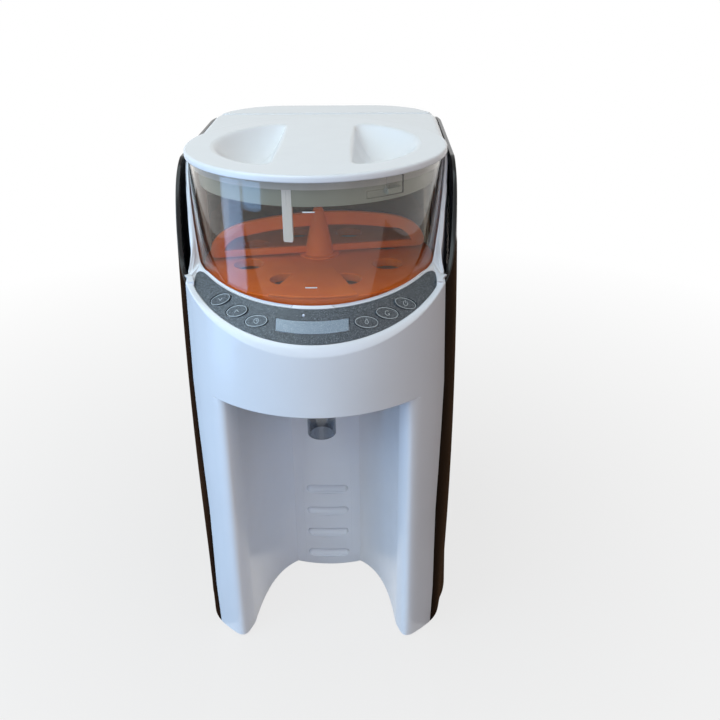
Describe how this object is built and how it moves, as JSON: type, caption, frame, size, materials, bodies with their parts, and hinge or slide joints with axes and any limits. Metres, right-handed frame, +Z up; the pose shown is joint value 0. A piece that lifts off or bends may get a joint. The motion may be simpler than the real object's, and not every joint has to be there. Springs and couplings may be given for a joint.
{
  "type": "baby formula maker",
  "caption": "Countertop formula maker: smoke powder container with stirrer over a curved key panel, mixing funnel above a bottle bay, water tank behind.",
  "frame": {"origin": "bottom centre of the bounding box, on the surface the feet stand on", "axes": "+X to the right as the user faces the panel, +Y to the back, +Z up"},
  "size_m": [0.212, 0.308, 0.3975],
  "materials": {
    "white_abs": "injection-moulded gloss ABS",
    "black_abs": "piano-black polished ABS",
    "dark_nylon": "glass-filled nylon",
    "rubber": "soft rubber",
    "slate_panel": "speckled satin film",
    "window": "clear window over a pale display",
    "indicator": "clear lens",
    "circuit_board": "epoxy-glass board",
    "acetal": "natural acetal",
    "smoke_san": "smoke-tinted clear SAN",
    "orange_pp": "satin polypropylene",
    "silicone": "silicone",
    "steel": "satin stainless steel",
    "grey_san": "grey clear SAN"
  },
  "bodies": {
    "housing": {"front_shell": "white_abs", "stand_rack": "white_abs", "rear_housing": "black_abs", "top_deck": "white_abs", "base_plate": "dark_nylon", "foot_front_left": "rubber", "foot_front_right": "rubber", "foot_rear_left": "rubber", "foot_rear_right": "rubber", "head_floor": "white_abs", "control_panel": "slate_panel", "lcd_window": "window", "display_module": "dark_nylon", "status_led": "indicator", "key_board_left": "circuit_board", "key_board_right": "circuit_board", "cradle_plate": "white_abs", "shaft_bushing": "acetal", "gear_plate": "dark_nylon", "powder_chute": "white_abs", "outlet_seal": "silicone", "drive_motor": "steel", "water_nozzle": "steel", "funnel_rail_left": "dark_nylon", "funnel_rail_right": "dark_nylon", "funnel_switch": "dark_nylon", "valve_seat": "dark_nylon", "water_pump": "dark_nylon", "water_heater": "steel", "power_board": "circuit_board", "cord_gland": "rubber", "inlet_tube": "silicone", "pump_tube": "silicone", "outlet_tube": "silicone"},
    "container": {"powder_container": "smoke_san", "wiper_plate": "orange_pp"},
    "stirrer": {"dosing_wheel": "orange_pp", "stirring_wheel": "orange_pp"},
    "lid_ring": {"lid_seal": "silicone"},
    "lid": {"powder_lid": "white_abs"},
    "drive": {"drive_gear": "acetal", "drive_shaft": "steel"},
    "pinion": {"motor_pinion": "acetal"},
    "funnel": {"mixing_funnel": "grey_san", "funnel_cover": "grey_san"},
    "tank": {"water_tank": "smoke_san", "valve_guide": "acetal", "valve_cage": "acetal", "valve_spring": "steel"},
    "tank_cover": {"tank_lid": "white_abs"},
    "valve": {"valve_plunger": "acetal"},
    "body_key_left_1": {"key_left_1": "slate_panel"},
    "body_key_left_2": {"key_left_2": "slate_panel"},
    "body_key_left_3": {"key_left_3": "slate_panel"},
    "body_key_right_1": {"key_right_1": "slate_panel"},
    "body_key_right_2": {"key_right_2": "slate_panel"},
    "body_key_right_3": {"key_right_3": "slate_panel"}
  },
  "joints": [
    {"name": "container_lift", "type": "slide", "parent": "housing", "child": "container", "axis": [0, 0, 1], "range_m": [0, 0.12]},
    {"name": "stirrer_spin", "type": "hinge", "parent": "container", "child": "stirrer", "pos_m": [0, -0.04057, 0.32], "axis": [0, 0, 1], "continuous": true},
    {"name": "lid_lift", "type": "slide", "parent": "container", "child": "lid_ring", "axis": [0, 0, 1], "range_m": [0, 0.06]},
    {"name": "lid_turn", "type": "hinge", "parent": "lid_ring", "child": "lid", "pos_m": [0, -0.04057, 0.39], "axis": [0, 0, 1], "range_deg": [-9, 0]},
    {"name": "drive_spin", "type": "hinge", "parent": "housing", "child": "drive", "pos_m": [0, -0.04057, 0.266], "axis": [0, 0, 1], "continuous": true},
    {"name": "pinion_spin", "type": "hinge", "parent": "housing", "child": "pinion", "pos_m": [0, 0.00983, 0.266], "axis": [0, 0, 1], "continuous": true},
    {"name": "funnel_slide", "type": "slide", "parent": "housing", "child": "funnel", "axis": [0, -1, 0], "range_m": [0, 0.1]},
    {"name": "tank_lift", "type": "slide", "parent": "housing", "child": "tank", "axis": [0, 0, 1], "range_m": [0, 0.12]},
    {"name": "tank_lid_lift", "type": "slide", "parent": "tank", "child": "tank_cover", "axis": [0, 0, 1], "range_m": [0, 0.06]},
    {"name": "valve_travel", "type": "slide", "parent": "tank", "child": "valve", "axis": [0, 0, 1], "range_m": [0, 0.003], "stiffness_N_per_m": 120, "springref_m": -0.004, "deforming": ["valve_spring"]},
    {"name": "key_left_1_press", "type": "slide", "parent": "housing", "child": "body_key_left_1", "axis": [0.3129, 0.7668, -0.5604], "range_m": [0, 0.0006], "stiffness_N_per_m": 600, "springref_m": -0.0005},
    {"name": "key_left_2_press", "type": "slide", "parent": "housing", "child": "body_key_left_2", "axis": [0.4245, 0.69, -0.5863], "range_m": [0, 0.0006], "stiffness_N_per_m": 600, "springref_m": -0.0005},
    {"name": "key_left_3_press", "type": "slide", "parent": "housing", "child": "body_key_left_3", "axis": [0.5141, 0.5872, -0.6252], "range_m": [0, 0.0006], "stiffness_N_per_m": 600, "springref_m": -0.0005},
    {"name": "key_right_1_press", "type": "slide", "parent": "housing", "child": "body_key_right_1", "axis": [-0.3129, 0.7668, -0.5604], "range_m": [0, 0.0006], "stiffness_N_per_m": 600, "springref_m": -0.0005},
    {"name": "key_right_2_press", "type": "slide", "parent": "housing", "child": "body_key_right_2", "axis": [-0.4245, 0.69, -0.5863], "range_m": [0, 0.0006], "stiffness_N_per_m": 600, "springref_m": -0.0005},
    {"name": "key_right_3_press", "type": "slide", "parent": "housing", "child": "body_key_right_3", "axis": [-0.5141, 0.5872, -0.6252], "range_m": [0, 0.0006], "stiffness_N_per_m": 600, "springref_m": -0.0005}
  ],
  "couplings": [
    {"joint": "pinion_spin", "follows": "drive_spin", "ratio": -3},
    {"joint": "stirrer_spin", "follows": "drive_spin", "ratio": 1}
  ]
}
